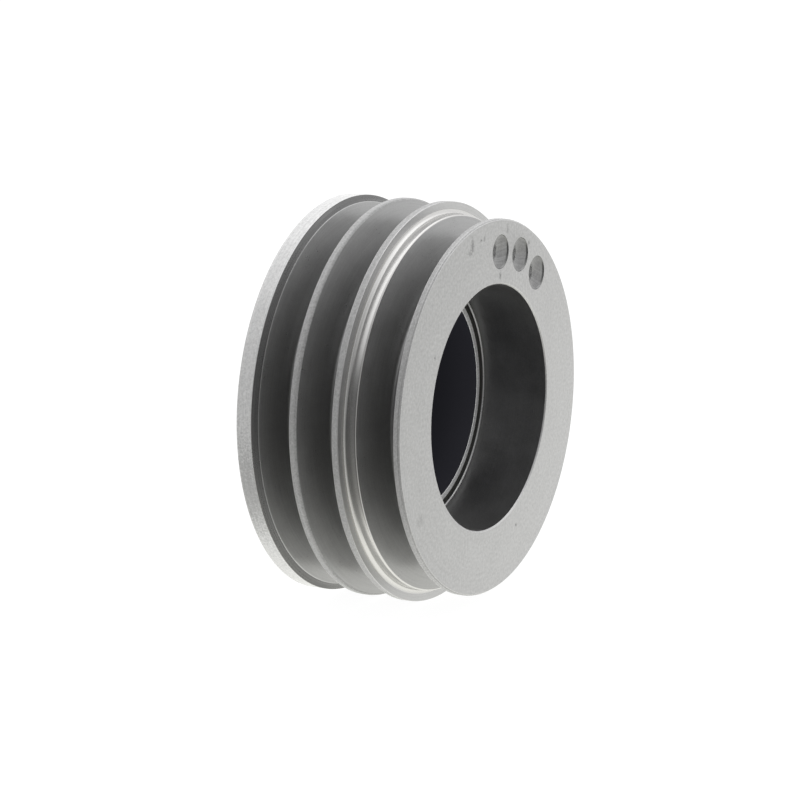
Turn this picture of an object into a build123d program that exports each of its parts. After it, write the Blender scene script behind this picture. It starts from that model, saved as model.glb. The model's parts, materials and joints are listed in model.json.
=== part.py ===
from build123d import *
import os
from math import cos, radians, sin, tan

# A three-groove V-belt pulley for an engine's crankshaft, with a rubber torsional damper inside.
# Sizes are in millimetres. The pulley axis is Y, and the front face looks towards -Y.
# The origin is on the axis, in the plane of the rear face, where the hub bolts to the shaft's flange.
# A "depth" is a distance behind the front face, measured along the axis.

# Grooved ring, outside
ring_wall = 7.0
land_rise = 0.2
rim_step = 4.0
front_rim_width = 2.1
land_width = 3.9
third_rim_width = 2.2
second_rim_width = 2.0
rear_rim_width = 6.2

# V grooves for 13 mm belts
groove_mouth = 13.2
groove_depth = 14.0
groove_half_angle = 18.0
groove_root_round = 0.8

# Edges of the ring
face_chamfer_width = 0.6
face_chamfer_height = 0.4
land_edge_round = 0.6
land_root_round = 1.3
second_rim_round = 1.0
sharp_edge_round = 0.15
rear_rim_chamfer_width = 0.6
rear_rim_chamfer_height = 2.1
rear_edge_chamfer = 0.4

# Grooved ring, inside
seat_radius = 39.8
seat_depth = 23.2
seat_chamfer = 0.4
bore_step = 0.6
bore_step_round = 0.35
rubber_bore_chamfer = 0.5

# Balance drillings in the front face, each a little off the circle they lie on
drilling_offsets = [0.2, 0.75, -0.1]
drilling_radius = 5.45
drilling_wall = 0.5
drilling_point_angle = 154.0
first_drilling_angle = 51.1
drilling_step_angle = 15.9

# Rubber ring and the steel sleeve it is bonded to
rubber_thickness = 1.45
rubber_front_recess = 1.0
rubber_rear_recess = 1.2
sleeve_wall = 1.9
sleeve_front_recess = 0.7
sleeve_rear_recess = 0.8

# Hub
hub_width = 14.0
hub_edge_chamfer = 0.6
dish_margin = 4.78
dish_depth = 2.0
dish_edge_chamfer = 0.5
dish_root_round = 0.8
pilot_radius = 15.0
pilot_chamfer = 0.6
pad_margin = 2.78
pad_height = 0.8
bolt_count = 6
bolt_hole_radius = 4.5

# Clearances
twist_gap = 0.05
bond_gap = 0.01

# Places that follow from the sizes above
front_groove_depth = front_rim_width
land_depth = front_groove_depth + groove_mouth
third_rim_depth = land_depth + land_width
middle_groove_depth = third_rim_depth + third_rim_width
second_rim_depth = middle_groove_depth + groove_mouth
rear_groove_depth = second_rim_depth + second_rim_width
rear_rim_depth = rear_groove_depth + groove_mouth
pulley_width = rear_rim_depth + rear_rim_width
front_rim_radius = seat_radius + ring_wall + groove_depth
land_radius = front_rim_radius + land_rise
rim_radius = land_radius + rim_step
rubber_bore_radius = seat_radius - bore_step
drilling_circle_radius = (seat_radius + front_rim_radius) / 2
rubber_outer_radius = rubber_bore_radius - twist_gap
sleeve_outer_radius = rubber_outer_radius - rubber_thickness - bond_gap
sleeve_inner_radius = sleeve_outer_radius - sleeve_wall
hub_radius = sleeve_inner_radius - bond_gap
dish_radius = hub_radius - dish_margin
pad_radius = hub_radius - pad_margin
bolt_circle_radius = (pilot_radius + dish_radius) / 2


def turned(corners):
    """Revolves a closed outline about the axis. Each corner is a depth, a radius and a rounding."""
    points = [(radius, depth - pulley_width) for depth, radius, rounding in corners]
    outline = make_face(Polyline(*points, close=True))
    for point, corner in zip(points, corners):
        rounding = corner[2]
        if rounding > 0:
            vertex = outline.vertices().sort_by_distance((*point, 0))[0]
            outline = fillet(vertex, rounding)
    return revolve(outline, Axis.Y)


def groove_root(groove_start, mouth_radius):
    """The two bottom corners of a V groove whose mouth starts at this depth and radius."""
    inset = groove_depth * tan(radians(groove_half_angle))
    root_radius = mouth_radius - groove_depth
    return [
        (groove_start + inset, root_radius, groove_root_round),
        (groove_start + groove_mouth - inset, root_radius, groove_root_round),
    ]


def on_front_face(radius, angle):
    """A point of the front face, its angle counted from +X towards +Z."""
    return Pos(radius * cos(radians(angle)), -pulley_width, radius * sin(radians(angle)))


def balance_drilling():
    """The space that one drill cuts from the front face: a short round wall and a conical point."""
    point_length = drilling_radius / tan(radians(drilling_point_angle / 2))
    outline = make_face(
        Polyline(
            (0, -1),
            (drilling_radius, -1),
            (drilling_radius, drilling_wall),
            (0, drilling_wall + point_length),
            close=True,
        )
    )
    return revolve(outline, Axis.Y)


def pulley_ring():
    """The grooved ring, turned from one casting and balanced by drilling its front face."""
    chamfer_drop = rear_rim_chamfer_height * tan(radians(groove_half_angle))
    ring = turned(
        [
            (0, front_rim_radius - face_chamfer_height, 0),
            (face_chamfer_width, front_rim_radius, 0),
            (front_groove_depth, front_rim_radius, sharp_edge_round),
            *groove_root(front_groove_depth, front_rim_radius),
            (land_depth, land_radius, land_edge_round),
            (third_rim_depth, land_radius, land_root_round),
            (third_rim_depth, rim_radius, sharp_edge_round),
            (middle_groove_depth, rim_radius, sharp_edge_round),
            *groove_root(middle_groove_depth, rim_radius),
            (second_rim_depth, rim_radius, second_rim_round),
            (rear_groove_depth, rim_radius, sharp_edge_round),
            *groove_root(rear_groove_depth, rim_radius),
            (rear_rim_depth - chamfer_drop, rim_radius - rear_rim_chamfer_height, 0),
            (rear_rim_depth + rear_rim_chamfer_width, rim_radius, 0),
            (pulley_width - rear_edge_chamfer, rim_radius, 0),
            (pulley_width, rim_radius - rear_edge_chamfer, 0),
            (pulley_width, rubber_bore_radius + rubber_bore_chamfer, 0),
            (pulley_width - rubber_bore_chamfer, rubber_bore_radius, 0),
            (seat_depth, rubber_bore_radius, bore_step_round),
            (seat_depth, seat_radius, 0),
            (seat_chamfer, seat_radius, 0),
            (0, seat_radius + seat_chamfer, 0),
        ]
    )
    drilling = balance_drilling()
    for number, offset in enumerate(drilling_offsets):
        angle = first_drilling_angle + number * drilling_step_angle
        ring -= on_front_face(drilling_circle_radius + offset, angle) * drilling
    return ring


def damper_rubber():
    """The rubber ring, whose shear lets the grooved ring twist a little against the hub."""
    front = seat_depth + rubber_front_recess
    rear = pulley_width - rubber_rear_recess
    inner_radius = rubber_outer_radius - rubber_thickness
    return turned(
        [
            (front, rubber_outer_radius, 0),
            (rear, rubber_outer_radius, 0),
            (rear, inner_radius, 0),
            (front, inner_radius, 0),
        ]
    )


def inner_sleeve():
    """The thin steel ring that the rubber is bonded to, pressed over the hub."""
    front = seat_depth + sleeve_front_recess
    rear = pulley_width - sleeve_rear_recess
    return turned(
        [
            (front, sleeve_outer_radius, 0),
            (rear, sleeve_outer_radius, 0),
            (rear, sleeve_inner_radius, 0),
            (front, sleeve_inner_radius, 0),
        ]
    )


def hub():
    """The hub: a thick disc pressed into the sleeve's rear end, which bolts to the shaft's flange."""
    front = pulley_width - hub_width
    body = turned(
        [
            (front, hub_radius - hub_edge_chamfer, 0),
            (front + hub_edge_chamfer, hub_radius, 0),
            (pulley_width - pad_height, hub_radius, 0),
            (pulley_width - pad_height, pad_radius, 0),
            (pulley_width, pad_radius, 0),
            (pulley_width, pilot_radius + pilot_chamfer, 0),
            (pulley_width - pilot_chamfer, pilot_radius, 0),
            (front + dish_depth + pilot_chamfer, pilot_radius, 0),
            (front + dish_depth, pilot_radius + pilot_chamfer, 0),
            (front + dish_depth, dish_radius, dish_root_round),
            (front + dish_edge_chamfer, dish_radius, 0),
            (front, dish_radius + dish_edge_chamfer, 0),
        ]
    )
    bolt_hole = Rot(X=90) * Cylinder(bolt_hole_radius, 4 * hub_width)
    for number in range(bolt_count):
        angle = number * 360 / bolt_count
        body -= on_front_face(bolt_circle_radius, angle) * Pos(0, pulley_width, 0) * bolt_hole
    return body


pieces = {
    "pulley_ring": pulley_ring(),
    "damper_rubber": damper_rubber(),
    "inner_sleeve": inner_sleeve(),
    "hub": hub(),
}

os.makedirs("parts", exist_ok=True)
for name, piece in pieces.items():
    export_step(piece, f"parts/{name}.step")
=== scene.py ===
import json
from math import ceil, cos, pi, radians, sin, tan

import bmesh
import bpy
from mathutils import Matrix, Vector


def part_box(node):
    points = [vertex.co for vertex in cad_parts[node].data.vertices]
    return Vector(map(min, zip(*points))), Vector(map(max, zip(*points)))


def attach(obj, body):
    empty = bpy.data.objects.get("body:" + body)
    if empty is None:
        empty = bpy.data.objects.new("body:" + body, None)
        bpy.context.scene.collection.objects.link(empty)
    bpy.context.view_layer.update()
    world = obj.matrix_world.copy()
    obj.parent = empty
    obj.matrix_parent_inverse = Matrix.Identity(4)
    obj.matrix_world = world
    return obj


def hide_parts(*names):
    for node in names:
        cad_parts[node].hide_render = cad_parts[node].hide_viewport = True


# A three-groove crankshaft V-belt pulley: turned pieces around the Y axis, front face towards -Y.
# Lengths are in metres. "mm" turns a size in millimetres into metres.
# A "depth" is a distance behind the front face, as on a drawing of the pulley.

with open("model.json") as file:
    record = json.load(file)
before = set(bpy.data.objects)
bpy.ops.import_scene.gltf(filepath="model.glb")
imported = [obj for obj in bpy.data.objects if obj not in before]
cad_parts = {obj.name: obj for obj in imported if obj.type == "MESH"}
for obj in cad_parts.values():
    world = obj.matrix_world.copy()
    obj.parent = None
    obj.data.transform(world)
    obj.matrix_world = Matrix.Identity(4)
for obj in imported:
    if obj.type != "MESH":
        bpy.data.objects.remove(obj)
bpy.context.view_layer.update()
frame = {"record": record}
mm = 0.001

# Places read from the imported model
ring_low, ring_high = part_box("pulley_ring")
rubber_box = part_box("damper_rubber")
sleeve_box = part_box("inner_sleeve")
hub_low, hub_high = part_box("hub")
mounts = {mount["name"]: mount for mount in frame["record"]["mounts"]}
front_y = ring_low.y
pulley_width = ring_high.y - ring_low.y
rim_radius = ring_high.x

# Grooved ring, outside
front_rim_radius = rim_radius - 4.2 * mm
land_radius = rim_radius - 4.0 * mm
land_width = 3.9 * mm
groove_mouth = 13.2 * mm
groove_depth = 14.0 * mm
groove_half_angle = radians(18)
groove_root_round = 0.8 * mm
face_chamfer_width = 0.6 * mm
face_chamfer_height = 0.4 * mm
land_edge_round = 0.6 * mm
land_root_round = 1.3 * mm
second_rim_round = 1.0 * mm
edge_break = 0.15 * mm
rear_chamfer_width = 0.6 * mm
rear_chamfer_height = 2.1 * mm
rear_edge_chamfer = 0.4 * mm
# Width of two thin strips: the land's finish past its root round, and the step finish between the
# rear groove and its chamfer, whose lighter colour is a painted highlight line.
line_width = 0.2 * mm

# Grooved ring, inside
seat_radius = 39.8 * mm
seat_depth = 23.2 * mm
seat_chamfer = 0.4 * mm
bore_step = 0.6 * mm
bore_step_round = 0.35 * mm
rubber_bore_chamfer = 0.5 * mm

# Balance drillings, each a little off the circle they lie on
drilling_offsets = [0.2 * mm, 0.75 * mm, -0.1 * mm]
drilling_radius = 5.45 * mm
drilling_wall = 0.5 * mm
drilling_point_angle = radians(154)
drill_overshoot = 1 * mm
drill_rings = 14
drill_ridge = 0.03 * mm
first_drilling_angle = radians(51.1)
drilling_step_angle = radians(15.9)

# Rubber, sleeve and hub, as far as the frame doesn't hold them
rubber_thickness = 1.45 * mm
sleeve_wall = 1.9 * mm
hub_edge_chamfer = 0.6 * mm
dish_margin = 4.78 * mm
dish_depth = 2.0 * mm
dish_edge_chamfer = 0.5 * mm
dish_root_round = 0.8 * mm
pilot_chamfer = 0.6 * mm
pad_margin = 2.78 * mm
pad_height = 0.8 * mm

# Fineness of the turned meshes
ring_segments = 512
hub_segments = 256
drill_segments = 96
bolt_hole_segments = 64
arc_step = radians(15)
sharp_edge_angle = radians(35)

# Noise in the finishes. Tool marks lie across the sum of the radius and a share of the depth, and
# are this long in radians. Noise stays near its middle, so full_swing widens it.
noise_detail = 3.0
noise_roughness = 0.6
depth_share = 1.37
mark_length = 0.5
cloud_size = 9 * mm
full_swing = 4
roughness_swing = 0.15

# Edges of dark patches, which are dirt marks on the face and a broad patch of painted shade on the
# rear rim: how ragged they are, and at what sum of distance and noise they start to thin out and
# have ended
ragged_size = 0.6 * mm
raggedness = 2.4
patch_soft_start = 1.5
patch_soft_end = 2.4

# Camera
camera_azimuth = radians(-60.96)
camera_elevation = radians(11.81)
camera_lens = 152.04
camera_film_width = 36
camera_sees_from = 0.1
camera_sees_to = 50
camera_distance = 1084.6 * mm
camera_left_of_face = 29.19 * mm
camera_above_face = 2.52 * mm

# Floor, which shines a little so that shadows hardly show on it
floor_size = 12
floor_drop = 0.2 * mm
floor_glow = 0.97
floor_grey = 0.1

# Light tent: brightness, and how far from an aim it starts to change and has changed
tent_light = 1.15
top_light = 1.8
bottom_light = 1.35
top_outer = radians(75)
top_inner = radians(30)
opening_light = 0.35
opening_outer = radians(100)
opening_inner = radians(25)
left_opening = (-0.93, 0.15, -0.33)
left_light = 0.3
left_outer = radians(62)
left_inner = radians(32)
floor_warmth = 0.95
warmth_outer = radians(100)
warmth_inner = radians(40)
backdrop_light = 1.1

# Lamps that only dull surfaces show: one low on the left, and a small one inside the bore
low_lamp_place = Vector((-0.5, 0.3, -0.8))
low_lamp_size = 0.8
low_lamp_power = 3.3
bore_lamp_depth = 14 * mm
bore_lamp_power = 0.07
bore_lamp_size = 5 * mm


# Shapes


def rounded_corner(before, corner, after, rounding):
    """The points of an arc that rounds a corner of an outline, or the corner itself."""
    if rounding <= 0:
        return [corner]
    to_before = (before - corner).normalized()
    to_after = (after - corner).normalized()
    half_angle = to_before.angle(to_after) / 2
    reach = rounding / tan(half_angle)
    middle = (to_before + to_after).normalized()
    centre = corner + middle * (rounding / sin(half_angle))
    start = corner + to_before * reach - centre
    end = corner + to_after * reach - centre
    turn = start.angle_signed(end)
    steps = max(2, ceil(abs(turn) / arc_step))
    return [centre + Matrix.Rotation(-turn * i / steps, 2) @ start for i in range(steps + 1)]


def turned(name, corners, finishes, segments):
    """Turns a closed outline about the Y axis into a mesh.

    Each corner is a depth, a radius, a rounding, and the finish of the stretch that starts there.
    """
    points = []
    slots = []
    flat = [Vector((depth, radius)) for depth, radius, rounding, finish in corners]
    for i, (depth, radius, rounding, finish) in enumerate(corners):
        arc = rounded_corner(flat[i - 1], flat[i], flat[(i + 1) % len(flat)], rounding)
        edge = "edge" if 0 < rounding <= edge_break and "edge" in finishes else finish
        points += arc
        slots += [finishes.index(edge)] * (len(arc) - 1) + [finishes.index(finish)]
    shape = bmesh.new()
    rings = []
    for segment in range(segments):
        angle = 2 * pi * segment / segments
        rings.append(
            [
                shape.verts.new((radius * cos(angle), front_y + depth, radius * sin(angle)))
                for depth, radius in points
            ]
        )
    for segment in range(segments):
        here = rings[segment]
        there = rings[(segment + 1) % segments]
        for i, slot in enumerate(slots):
            j = (i + 1) % len(points)
            face = shape.faces.new((here[i], there[i], there[j], here[j]))
            face.material_index = slot
            face.smooth = True
    bmesh.ops.recalc_face_normals(shape, faces=shape.faces)
    mesh = bpy.data.meshes.new(name)
    shape.to_mesh(mesh)
    shape.free()
    piece = bpy.data.objects.new(name, mesh)
    bpy.context.scene.collection.objects.link(piece)
    for finish in finishes:
        mesh.materials.append(bpy.data.materials[finish])
    return piece


def cut(piece, cutters):
    """Takes the cutters' shapes out of a piece and removes the cutters."""
    for cutter in cutters:
        modifier = piece.modifiers.new("cut", "BOOLEAN")
        modifier.operation = "DIFFERENCE"
        modifier.solver = "EXACT"
        modifier.material_mode = "TRANSFER"
        modifier.object = cutter
    bpy.context.view_layer.update()
    graph = bpy.context.evaluated_depsgraph_get()
    mesh = bpy.data.meshes.new_from_object(piece.evaluated_get(graph))
    mesh.name = piece.name
    piece.modifiers.clear()
    piece.data = mesh
    for cutter in cutters:
        bpy.data.objects.remove(cutter)


def even_shading(piece):
    """Shades broad faces as flat as they are, and only their rounded edges as round."""
    modifier = piece.modifiers.new("even_shading", "WEIGHTED_NORMAL")
    modifier.weight = 100
    modifier.keep_sharp = True


def on_front_face(radius, angle):
    """A place on the front face, its angle counted from +X towards +Z."""
    return Matrix.Translation((radius * cos(angle), front_y, radius * sin(angle)))


def drill_tool(radius, angle):
    """The shape that a drill cuts from the front face at this place: a short wall and a cone."""
    point_length = drilling_radius / tan(drilling_point_angle / 2)
    outline = [
        (-drill_overshoot, drilling_radius + edge_break),
        (0, drilling_radius + edge_break),
        (edge_break, drilling_radius),
    ]
    for i in range(drill_rings):
        share = 1 - i / drill_rings
        ridge = drill_ridge * (i % 2)
        outline.append((drilling_wall + point_length * (1 - share) - ridge, drilling_radius * share))
    segments = drill_segments
    shape = bmesh.new()
    loops = []
    for depth, reach in outline:
        loops.append(
            [
                shape.verts.new(
                    (reach * cos(2 * pi * i / segments), depth, reach * sin(2 * pi * i / segments))
                )
                for i in range(segments)
            ]
        )
    tip = shape.verts.new((0, drilling_wall + point_length, 0))
    shape.faces.new(loops[0])
    for upper, lower in zip(loops, loops[1:]):
        for i in range(segments):
            j = (i + 1) % segments
            shape.faces.new((upper[i], upper[j], lower[j], lower[i]))
    for i in range(segments):
        shape.faces.new((loops[-1][i], loops[-1][(i + 1) % segments], tip))
    for face in shape.faces:
        face.smooth = True
    bmesh.ops.recalc_face_normals(shape, faces=shape.faces)
    mesh = bpy.data.meshes.new("drill_tool")
    shape.to_mesh(mesh)
    shape.free()
    mesh.materials.append(bpy.data.materials["drilled"])
    tool = bpy.data.objects.new("drill_tool", mesh)
    tool.matrix_world = on_front_face(radius, angle)
    bpy.context.scene.collection.objects.link(tool)
    return tool


# Materials


def node_adder(tree):
    """A function that adds a node to a tree, and sets or joins its inputs."""

    def add(kind, inputs=None, **settings):
        node = tree.nodes.new(kind)
        for key, value in settings.items():
            setattr(node, key, value)
        for key, value in (inputs or {}).items():
            if isinstance(value, bpy.types.NodeSocket):
                tree.links.new(value, node.inputs[key])
            else:
                node.inputs[key].default_value = value
        return node

    return add


def new_material(name):
    """A new material's node tree, its shader, and a function that adds nodes to it."""
    material = bpy.data.materials.new(name)
    material.use_nodes = True
    tree = material.node_tree
    return tree, tree.nodes["Principled BSDF"], node_adder(tree)


def turning_coordinates(add):
    """A place on a turned surface: across the tool marks, and round the axis without a seam."""
    place = add("ShaderNodeTexCoord").outputs["Object"]
    parts = add("ShaderNodeSeparateXYZ", {0: place})
    sideways = add("ShaderNodeVectorMath", {0: place, 1: (1, 0, 1)}, operation="MULTIPLY")
    radius = add("ShaderNodeVectorMath", {0: sideways.outputs[0]}, operation="LENGTH")
    round_axis = add("ShaderNodeVectorMath", {0: sideways.outputs[0]}, operation="NORMALIZE")
    around = add("ShaderNodeSeparateXYZ", {0: round_axis.outputs[0]})
    across = add(
        "ShaderNodeMath",
        {0: parts.outputs["Y"], 1: depth_share, 2: radius.outputs["Value"]},
        operation="MULTIPLY_ADD",
    )
    return place, across.outputs[0], around.outputs["X"], around.outputs["Z"]


def tool_marks(add, coordinates, spacing, length):
    """Noise drawn out round the axis: marks this far apart and about this long, in radians."""
    place, across, around_x, around_z = coordinates
    stretched = add(
        "ShaderNodeCombineXYZ",
        {
            0: add("ShaderNodeMath", {0: across, 1: 1 / spacing}, operation="MULTIPLY").outputs[0],
            1: add("ShaderNodeMath", {0: around_x, 1: 1 / length}, operation="MULTIPLY").outputs[0],
            2: add("ShaderNodeMath", {0: around_z, 1: 1 / length}, operation="MULTIPLY").outputs[0],
        },
    )
    noise = add(
        "ShaderNodeTexNoise",
        {
            "Vector": stretched.outputs[0],
            "Scale": 1.0,
            "Detail": noise_detail,
            "Roughness": noise_roughness,
        },
    )
    return noise.outputs["Fac"]


def speckle(add, place, size):
    """Even noise whose grains are about this large."""
    noise = add(
        "ShaderNodeTexNoise",
        {
            "Vector": place,
            "Scale": 1 / size,
            "Detail": noise_detail,
            "Roughness": noise_roughness,
        },
    )
    return noise.outputs["Fac"]


def spread(add, value, low, high, new_low, new_high):
    """Maps low..high of a value to new_low..new_high, and holds it there."""
    node = add(
        "ShaderNodeMapRange",
        {"Value": value, "From Min": low, "From Max": high, "To Min": new_low, "To Max": new_high},
    )
    return node.outputs[0]


def weighted(add, start, terms):
    """A number plus each noise's swing about its middle times a weight."""
    total = start
    for value, weight in terms:
        swing = add("ShaderNodeMath", {0: value, 1: 0.5}, operation="SUBTRACT")
        total = add(
            "ShaderNodeMath", {0: swing.outputs[0], 1: weight, 2: total}, operation="MULTIPLY_ADD"
        ).outputs[0]
    return total


def smudges_and_painted_shade(add, place, marks):
    """How far dark patches darken each place: one mark is a place, a size, and how much it darkens.

    The patches are dirt marks and broad patches of painted shade.
    """
    ragged = add(
        "ShaderNodeTexNoise", {"Vector": place, "Scale": 1 / ragged_size, "Detail": noise_detail}
    )
    keep = 1.0
    for centre, size, depth in marks:
        away = add("ShaderNodeVectorMath", {0: place, 1: centre}, operation="SUBTRACT")
        narrow = add(
            "ShaderNodeVectorMath",
            {0: away.outputs[0], 1: tuple(1 / side for side in size)},
            operation="MULTIPLY",
        )
        reach = add("ShaderNodeVectorMath", {0: narrow.outputs[0]}, operation="LENGTH")
        uneven = add(
            "ShaderNodeMath",
            {0: ragged.outputs["Fac"], 1: raggedness, 2: reach.outputs["Value"]},
            operation="MULTIPLY_ADD",
        )
        mask = spread(add, uneven.outputs[0], patch_soft_start, patch_soft_end, 1 - depth, 1)
        keep = add("ShaderNodeMath", {0: keep, 1: mask}, operation="MULTIPLY").outputs[0]
    return keep


def iron(
    name,
    level,
    roughness,
    metal=1.0,
    warmth=0.0,
    grain=(0.7, 0.10, 0.01),
    marks=(0.5, 0.04, 0.004),
    clouds=0.05,
    painted_light_slope=None,
    stains_and_painted_shade=(),
):
    """Turned grey iron of this reflectance and roughness; metal is how little it is dulled by film.

    grain and marks are each a size in mm, how much they vary the colour, and a height in mm.
    clouds is how much broad patches vary the colour. The colour gradient argument is a change of
    it per metre along X, Y, Z: painted light and shade, lighter where the light falls more.
    Dark patches darken the colour: dirt marks, and broad patches of painted shade.
    """
    tree, shader, add = new_material(name)
    coordinates = turning_coordinates(add)
    place = coordinates[0]
    mark_noise = tool_marks(add, coordinates, marks[0] * mm, mark_length)
    grain_noise = speckle(add, place, grain[0] * mm)
    cloud_noise = speckle(add, place, cloud_size)
    shade = weighted(
        add,
        1.0,
        [
            (grain_noise, full_swing * grain[1]),
            (mark_noise, full_swing * marks[1]),
            (cloud_noise, full_swing * clouds),
        ],
    )
    # Painted light and shade: the colour gradient makes the colour lighter or darker along one
    # direction, the way light falls on it.
    if painted_light_slope:
        painted_light_ramp = add("ShaderNodeVectorMath", {0: place, 1: painted_light_slope}, operation="DOT_PRODUCT")
        shade = add(
            "ShaderNodeMath", {0: shade, 1: painted_light_ramp.outputs["Value"]}, operation="ADD"
        ).outputs[0]
    if stains_and_painted_shade:
        kept = smudges_and_painted_shade(add, place, stains_and_painted_shade)
        shade = add("ShaderNodeMath", {0: shade, 1: kept}, operation="MULTIPLY").outputs[0]
    colour = add(
        "ShaderNodeVectorMath", {0: grey(level, warmth)[:3], "Scale": shade}, operation="SCALE"
    )
    dull = weighted(add, roughness, [(grain_noise, roughness_swing), (cloud_noise, roughness_swing)])
    mark_bump = add(
        "ShaderNodeBump", {"Strength": 1.0, "Distance": marks[2] * mm, "Height": mark_noise}
    )
    grain_bump = add(
        "ShaderNodeBump",
        {
            "Strength": 1.0,
            "Distance": grain[2] * mm,
            "Height": grain_noise,
            "Normal": mark_bump.outputs["Normal"],
        },
    )
    shader.inputs["Metallic"].default_value = metal
    tree.links.new(colour.outputs[0], shader.inputs["Base Color"])
    tree.links.new(dull, shader.inputs["Roughness"])
    tree.links.new(grain_bump.outputs["Normal"], shader.inputs["Normal"])


def grey(level, warmth=0.0):
    """A grey of this linear level, a little yellow where warmth is above 0 and blue below."""
    return (level * (1 + warmth), level, level * (1 - 2 * warmth), 1.0)


def rubber():
    """Black rubber with a fine moulded grain."""
    tree, shader, add = new_material("rubber")
    place = add("ShaderNodeTexCoord").outputs["Object"]
    grain = speckle(add, place, 0.4 * mm)
    colour = add(
        "ShaderNodeMix",
        {"Factor": grain, "A": grey(0.07, 0.05), "B": grey(0.12, 0.05)},
        data_type="RGBA",
    )
    bump = add("ShaderNodeBump", {"Strength": 1.0, "Distance": 0.03 * mm, "Height": grain})
    shader.inputs["Roughness"].default_value = 0.5
    tree.links.new(colour.outputs["Result"], shader.inputs["Base Color"])
    tree.links.new(bump.outputs["Normal"], shader.inputs["Normal"])


def black_coat():
    """The blue-black coating on the hub and on the sleeve's inner wall."""
    tree, shader, add = new_material("black_coat")
    coordinates = turning_coordinates(add)
    marks = tool_marks(add, coordinates, 0.4 * mm, mark_length)
    grain = speckle(add, coordinates[0], 0.5 * mm)
    colour = add(
        "ShaderNodeMix",
        {"Factor": grain, "A": (0.064, 0.068, 0.085, 1), "B": (0.078, 0.083, 0.103, 1)},
        data_type="RGBA",
    )
    bump = add("ShaderNodeBump", {"Strength": 1.0, "Distance": 0.01 * mm, "Height": marks})
    shader.inputs["Specular IOR Level"].default_value = 0.25
    tree.links.new(spread(add, grain, 0.3, 0.7, 0.6, 0.75), shader.inputs["Roughness"])
    tree.links.new(colour.outputs["Result"], shader.inputs["Base Color"])
    tree.links.new(bump.outputs["Normal"], shader.inputs["Normal"])


def on_face(radius, angle):
    """A place on the front face, from a radius in mm and an angle in degrees."""
    return (radius * mm * cos(radians(angle)), front_y, radius * mm * sin(radians(angle)))


def make_materials():
    """All the finishes. A face mark is a place, a size and how much it darkens.

    The face marks are dirt marks; the rear rim's broad dark patch is painted shade.
    """
    face_marks = [
        (on_face(53, 72), (9 * mm, 1 * mm, 5 * mm), 0.10),
        (on_face(56, 103.5), (1.1 * mm, 1 * mm, 2.3 * mm), 0.42),
        (on_face(54.3, 105.5), (1.4 * mm, 1 * mm, 0.9 * mm), 0.3),
        (on_face(55.9, 97.6), (0.8 * mm, 1 * mm, 0.5 * mm), 0.5),
        (on_face(55.8, 95.3), (0.7 * mm, 1 * mm, 0.8 * mm), 0.4),
        (on_face(42.5, 82), (0.6 * mm, 1 * mm, 1.4 * mm), 0.5),
        (on_face(57.6, 79), (0.9 * mm, 1 * mm, 2.0 * mm), 0.25),
        (on_face(56.4, 62.5), (0.8 * mm, 1 * mm, 1.0 * mm), 0.3),
        (on_face(46.3, -67), (0.6 * mm, 1 * mm, 0.6 * mm), 0.55),
        (on_face(44, 149), (0.6 * mm, 1 * mm, 0.6 * mm), 0.5),
        (on_face(54.5, -150), (2.6 * mm, 1 * mm, 2.0 * mm), 0.15),
    ]
    # The rear rim's broad dark patch at the low left is painted shade.
    painted_rim_shade = [((-61.5 * mm, -3 * mm, -21 * mm), (22 * mm, 9 * mm, 18 * mm), 0.3)]
    # Painted light and shade on the front face: its colour gradient makes it lighter towards the
    # right and the bottom, and darker towards the top and the left.
    iron("face", 0.455, 0.45, grain=(1.0, 0.17, 0.01), painted_light_slope=(1.4, 0, -0.9), stains_and_painted_shade=face_marks)
    # All rims are the same turned iron. The darker base of rim (the front rim and the rims between
    # the grooves) against the lighter base of rear_rim is painted light and shade.
    rim_scores = (0.5, 0.12, 0.01)
    iron("rear_rim", 0.74, 0.60, 0.15, grain=(0.8, 0.18, 0.03), marks=rim_scores, stains_and_painted_shade=painted_rim_shade)
    iron("rim", 0.44, 0.60, 0.15, grain=(0.7, 0.26, 0.03), marks=rim_scores)
    iron("groove", 0.355, 0.32, 0.8, grain=(0.5, 0.08, 0.003), marks=(0.6, 0.08, 0.004))
    iron("chamfer", 0.13, 0.3, 0.9, grain=(0.5, 0.15, 0.003), marks=(0.3, 0.4, 0.004))
    iron("land", 0.56, 0.2, 1, 0.008, grain=(0.8, 0.03, 0.001), marks=(0.5, 0.05, 0.001), clouds=0.03)
    iron("step", 0.5, 0.4, 0.9, grain=(0.5, 0.08, 0.003), marks=(0.4, 0.08, 0.003))
    iron("bore", 0.32, 0.36, 0.98, grain=(0.5, 0.08, 0.004), marks=(0.4, 0.06, 0.004))
    iron("drilled", 0.2, 0.2, grain=(0.9, 0.16, 0.005), marks=(0.5, 0.2, 0.004))
    iron("edge", 0.55, 0.3, grain=(0.5, 0.1, 0.004), marks=(0.4, 0.03, 0.002))
    iron("steel", 0.6, 0.5, 0.6, grain=(0.5, 0.4, 0.02), marks=(0.3, 0.05, 0.004))
    rubber()
    black_coat()


# Pieces


def groove_walls(mount, mouth_radius, finish):
    """The depth at which a belt groove's mouth starts and ends, and the corners at its bottom."""
    start = mounts[mount]["pos_m"][1] - front_y - groove_mouth / 2
    inset = groove_depth * tan(groove_half_angle)
    root_radius = mouth_radius - groove_depth
    bottom = [
        (start + inset, root_radius, groove_root_round, finish),
        (start + groove_mouth - inset, root_radius, groove_root_round, finish),
    ]
    return start, start + groove_mouth, bottom


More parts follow.
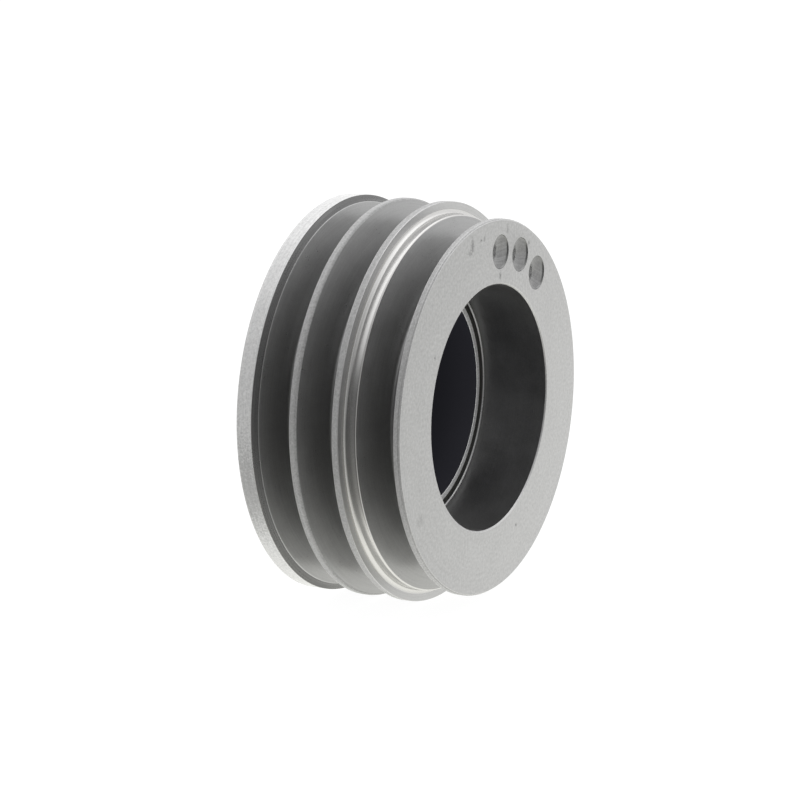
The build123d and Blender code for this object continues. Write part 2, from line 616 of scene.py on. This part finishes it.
def pulley_ring():
    """The grooved ring, with the balance drillings in its front face."""
    front_start, land_start, front_root = groove_walls("front_belt", front_rim_radius, "groove")
    middle_start, middle_end, middle_root = groove_walls("middle_belt", rim_radius, "groove")
    rear_start, rear_end, rear_root = groove_walls("rear_belt", rim_radius, "groove")
    rubber_bore_radius = seat_radius - bore_step
    chamfer_drop = rear_chamfer_height * tan(groove_half_angle)
    chamfer_radius = rim_radius - rear_chamfer_height
    corners = [
        (0, front_rim_radius - face_chamfer_height, edge_break, "rim"),
        (face_chamfer_width, front_rim_radius, edge_break, "rim"),
        (front_start, front_rim_radius, edge_break, "groove"),
        *front_root,
        (land_start, land_radius, land_edge_round, "land"),
        (land_start + land_width, land_radius, land_root_round, "land"),
        (land_start + land_width, land_radius + land_root_round + line_width, 0, "step"),
        (land_start + land_width, rim_radius, edge_break, "rim"),
        (middle_start, rim_radius, edge_break, "groove"),
        *middle_root,
        (middle_end, rim_radius, second_rim_round, "rim"),
        (rear_start, rim_radius, edge_break, "groove"),
        *rear_root,
        # This thin strip of the lighter step finish at the rear groove's edge is a painted highlight
        # line.
        (rear_end - chamfer_drop - line_width, chamfer_radius - line_width, 0, "step"),
        (rear_end - chamfer_drop, chamfer_radius, 0, "chamfer"),
        (rear_end + rear_chamfer_width, rim_radius, edge_break, "rear_rim"),
        (pulley_width - rear_edge_chamfer, rim_radius, edge_break, "rear_rim"),
        (pulley_width, rim_radius - rear_edge_chamfer, edge_break, "face"),
        (pulley_width, rubber_bore_radius + rubber_bore_chamfer, edge_break, "bore"),
        (pulley_width - rubber_bore_chamfer, rubber_bore_radius, edge_break, "bore"),
        (seat_depth, rubber_bore_radius, bore_step_round, "edge"),
        (seat_depth, seat_radius, 0, "bore"),
        (seat_chamfer, seat_radius, edge_break, "face"),
        (0, seat_radius + seat_chamfer, edge_break, "face"),
    ]
    finishes = ["face", "rear_rim", "rim", "groove", "chamfer", "land", "step", "bore", "edge"]
    ring = turned("grooved_ring", corners, finishes, ring_segments)
    circle_radius = (seat_radius + front_rim_radius) / 2
    tools = [
        drill_tool(circle_radius + offset, first_drilling_angle + i * drilling_step_angle)
        for i, offset in enumerate(drilling_offsets)
    ]
    cut(ring, tools)
    even_shading(ring)
    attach(ring, "ring_body")
    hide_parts("pulley_ring")


def band(name, node, box, thickness, ends, inside):
    """A plain turned ring in a node's place, such as the rubber or its sleeve."""
    low, high = box
    front = low.y - front_y
    rear = high.y - front_y
    outer = high.x
    corners = [
        (front, outer, edge_break, ends),
        (rear, outer, edge_break, ends),
        (rear, outer - thickness, edge_break, inside),
        (front, outer - thickness, edge_break, ends),
    ]
    piece = turned(name, corners, [ends, inside], ring_segments)
    even_shading(piece)
    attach(piece, "hub_body")
    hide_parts(node)


def bolt_hole_tool(radius, angle, reach):
    """A round bar through the hub, where one bolt goes."""
    bpy.ops.mesh.primitive_cylinder_add(
        vertices=bolt_hole_segments, radius=reach, depth=2 * pulley_width
    )
    tool = bpy.context.object
    tool.matrix_world = (
        Matrix.Translation((radius * cos(angle), 0, radius * sin(angle)))
        @ Matrix.Rotation(pi / 2, 4, "X")
    )
    for face in tool.data.polygons:
        face.use_smooth = True
    tool.data.materials.append(bpy.data.materials["black_coat"])
    return tool


def hub():
    """The coated hub disc: its dish, the locating bore, the bolt holes and the rear pad."""
    front = hub_low.y - front_y
    rear = hub_high.y - front_y
    hub_radius = hub_high.x
    dish_radius = hub_radius - dish_margin
    pad_radius = hub_radius - pad_margin
    pilot_radius = mounts["hub_bore"]["dims"]["r_mm"] * mm
    dish_floor = front + dish_depth
    coat = "black_coat"
    corners = [
        (front, hub_radius - hub_edge_chamfer, 0, coat),
        (front + hub_edge_chamfer, hub_radius, 0, coat),
        (rear - pad_height, hub_radius, edge_break, coat),
        (rear - pad_height, pad_radius, 0, coat),
        (rear, pad_radius, edge_break, coat),
        (rear, pilot_radius + pilot_chamfer, edge_break, coat),
        (rear - pilot_chamfer, pilot_radius, 0, coat),
        (dish_floor + pilot_chamfer, pilot_radius, 0, coat),
        (dish_floor, pilot_radius + pilot_chamfer, edge_break, coat),
        (dish_floor, dish_radius, dish_root_round, coat),
        (front + dish_edge_chamfer, dish_radius, edge_break, coat),
        (front, dish_radius + dish_edge_chamfer, edge_break, coat),
    ]
    body = turned("disc_hub", corners, [coat], hub_segments)
    bolts = mounts["bolt_circle"]["dims"]
    tools = [
        bolt_hole_tool(bolts["pcd_mm"] / 2 * mm, 2 * pi * i / bolts["count"], bolts["hole_r_mm"] * mm)
        for i in range(bolts["count"])
    ]
    cut(body, tools)
    body.data.set_sharp_from_angle(angle=sharp_edge_angle)
    even_shading(body)
    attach(body, "hub_body")
    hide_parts("hub")


# Studio


def floor():
    """A plain white floor, lit so evenly that shadows hardly show; only the camera sees it."""
    bpy.ops.mesh.primitive_plane_add(size=floor_size, location=(0, 0, ring_low.z - floor_drop))
    plane = bpy.context.object
    plane.name = "floor"
    plane.visible_diffuse = False
    plane.visible_glossy = False
    plane.visible_shadow = False
    shader = new_material("floor")[1]
    shader.inputs["Base Color"].default_value = (floor_grey, floor_grey, floor_grey, 1)
    shader.inputs["Roughness"].default_value = 1.0
    shader.inputs["Specular IOR Level"].default_value = 0.0
    shader.inputs["Emission Color"].default_value = (1, 1, 1, 1)
    shader.inputs["Emission Strength"].default_value = floor_glow
    plane.data.materials.append(bpy.data.materials["floor"])


def camera_axes():
    """The camera's right, up and back directions."""
    a = camera_azimuth
    e = camera_elevation
    right = Vector((cos(a), sin(a), 0))
    back = Vector((sin(a) * cos(e), -cos(a) * cos(e), sin(e)))
    return right, back.cross(right), back


def camera():
    """The camera, which looks past the front face's centre from its left."""
    right, up, back = camera_axes()
    data = bpy.data.cameras.new("camera")
    data.lens = camera_lens
    data.sensor_width = camera_film_width
    data.clip_start = camera_sees_from
    data.clip_end = camera_sees_to
    eye = bpy.data.objects.new("camera", data)
    place = (
        Vector((0, front_y, 0))
        - right * camera_left_of_face
        + up * camera_above_face
        + back * camera_distance
    )
    turn = Matrix((right, up, back)).transposed()
    eye.matrix_world = Matrix.Translation(place) @ turn.to_4x4()
    bpy.context.scene.collection.objects.link(eye)
    bpy.context.scene.camera = eye


def white_room():
    """A white light tent, dark where it is open: towards the camera, and at the low left."""
    world = bpy.data.worlds.new("light_tent")
    world.use_nodes = True
    bpy.context.scene.world = world
    tree = world.node_tree
    tree.nodes.clear()
    add = node_adder(tree)
    direction = add("ShaderNodeTexCoord").outputs["Generated"]

    def towards(aim, start, end, at_start, at_end):
        """A brightness that changes smoothly as a direction turns towards an aim."""
        dot = add("ShaderNodeVectorMath", {0: direction, 1: aim}, operation="DOT_PRODUCT")
        names = ["Value", "From Min", "From Max", "To Min", "To Max"]
        values = [dot.outputs["Value"], cos(start), cos(end), at_start, at_end]
        node = add(
            "ShaderNodeMapRange", dict(zip(names, values)), interpolation_type="SMOOTHSTEP"
        )
        return node.outputs[0]

    opening = camera_axes()[2]
    brightness = towards(opening, opening_outer, opening_inner, 1, opening_light)
    shares = [
        towards(Vector(left_opening).normalized(), left_outer, left_inner, 1, left_light),
        towards((0, 0, 1), top_outer, top_inner, tent_light, top_light),
        towards((0, 0, -1), top_outer, top_inner, 1, bottom_light / tent_light),
    ]
    for share in shares:
        brightness = add("ShaderNodeMath", {0: brightness, 1: share}, operation="MULTIPLY").outputs[0]
    warmth = towards((0, 0, -1), warmth_outer, warmth_inner, 1, floor_warmth)
    tint = add("ShaderNodeCombineColor", {0: 1, 1: 1, 2: warmth})
    tent = add("ShaderNodeBackground", {"Color": tint.outputs[0], "Strength": brightness})
    backdrop = add("ShaderNodeBackground", {"Color": (1, 1, 1, 1), "Strength": backdrop_light})
    seen = add("ShaderNodeLightPath").outputs["Is Camera Ray"]
    mix = add("ShaderNodeMixShader", {0: seen, 1: tent.outputs[0], 2: backdrop.outputs[0]})
    add("ShaderNodeOutputWorld", {"Surface": mix.outputs[0]})


def dull_lamp(name, kind, place, power):
    """A lamp that lights dull surfaces and shows in no reflection."""
    data = bpy.data.lights.new(name, kind)
    data.energy = power
    lamp = bpy.data.objects.new(name, data)
    lamp.location = place
    lamp.visible_glossy = False
    bpy.context.scene.collection.objects.link(lamp)
    return lamp


def lamps():
    """The low lamp at the left, and the small one in the bore."""
    low = dull_lamp("low_lamp", "AREA", low_lamp_place, low_lamp_power)
    low.data.size = low_lamp_size
    low.rotation_euler = low_lamp_place.to_track_quat("Z", "Y").to_euler()
    bore = dull_lamp("bore_lamp", "POINT", (0, front_y + bore_lamp_depth, 0), bore_lamp_power)
    bore.data.shadow_soft_size = bore_lamp_size


make_materials()
pulley_ring()
band("rubber_ring", "damper_rubber", rubber_box, rubber_thickness, "rubber", "rubber")
band("steel_sleeve", "inner_sleeve", sleeve_box, sleeve_wall, "steel", "black_coat")
hub()
floor()
camera()
white_room()
lamps()
bpy.context.scene.view_settings.view_transform = "Standard"
